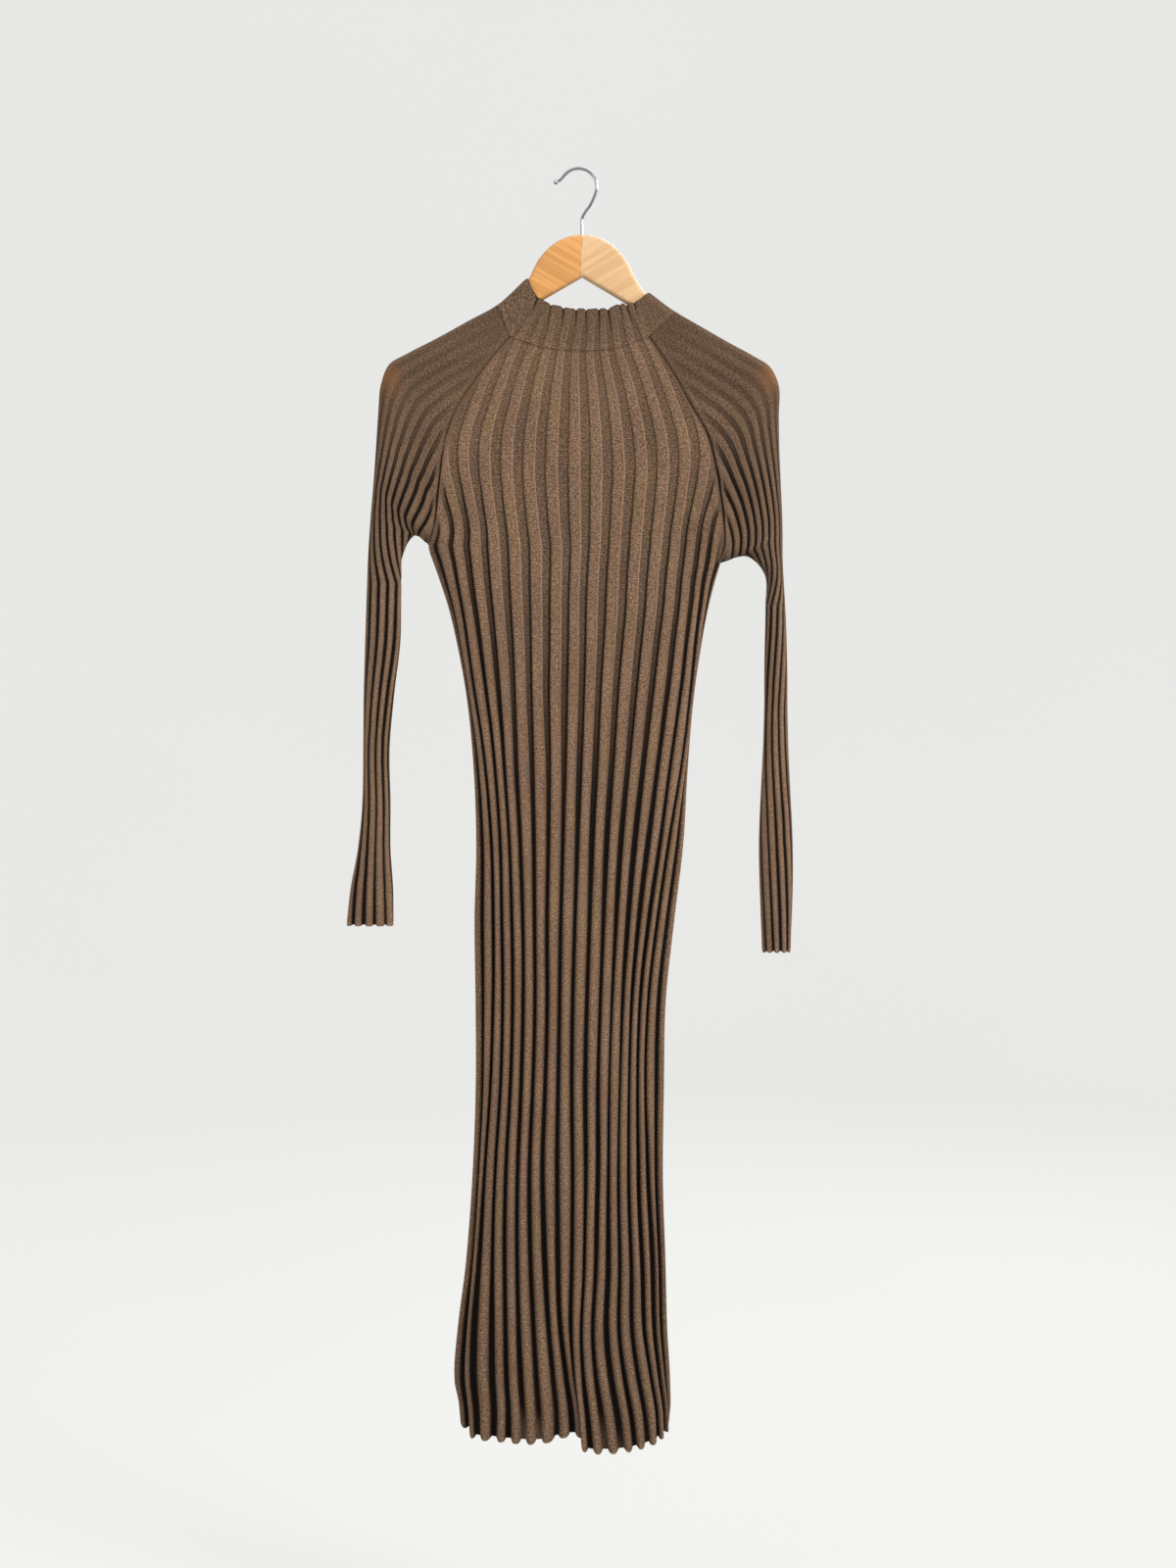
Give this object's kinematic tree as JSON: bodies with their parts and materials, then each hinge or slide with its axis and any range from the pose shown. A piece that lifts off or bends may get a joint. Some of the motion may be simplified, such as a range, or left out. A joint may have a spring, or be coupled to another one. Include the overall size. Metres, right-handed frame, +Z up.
{
  "type": "sweater dress on wooden hanger",
  "caption": "Long wide-rib knit dress with a mock neck, raglan long sleeves and an open hem, hanging flat on a mitred wooden hanger with a wire hook.",
  "frame": {"origin": "inside of the hook's crown, where the hook rests on what it hangs from", "axes": "+Z up along the hanging dress, -Y out of the front of the dress, +X to the right seen from the front"},
  "size_m": [0.488, 0.0481, 1.4055],
  "materials": {
    "knit": "heather wool-blend rib knit, matt",
    "wood_left": "lacquered beech, warmer half",
    "wood_right": "lacquered beech, paler half",
    "hook_chrome": "polished wire"
  },
  "bodies": {
    "root": {"front_panel": "knit", "back_panel": "knit", "left_sleeve": "knit", "right_sleeve": "knit", "collar": "knit", "hanger_arm_left": "wood_left", "hanger_arm_right": "wood_right", "hanger_hook": "hook_chrome"}
  },
  "joints": []
}
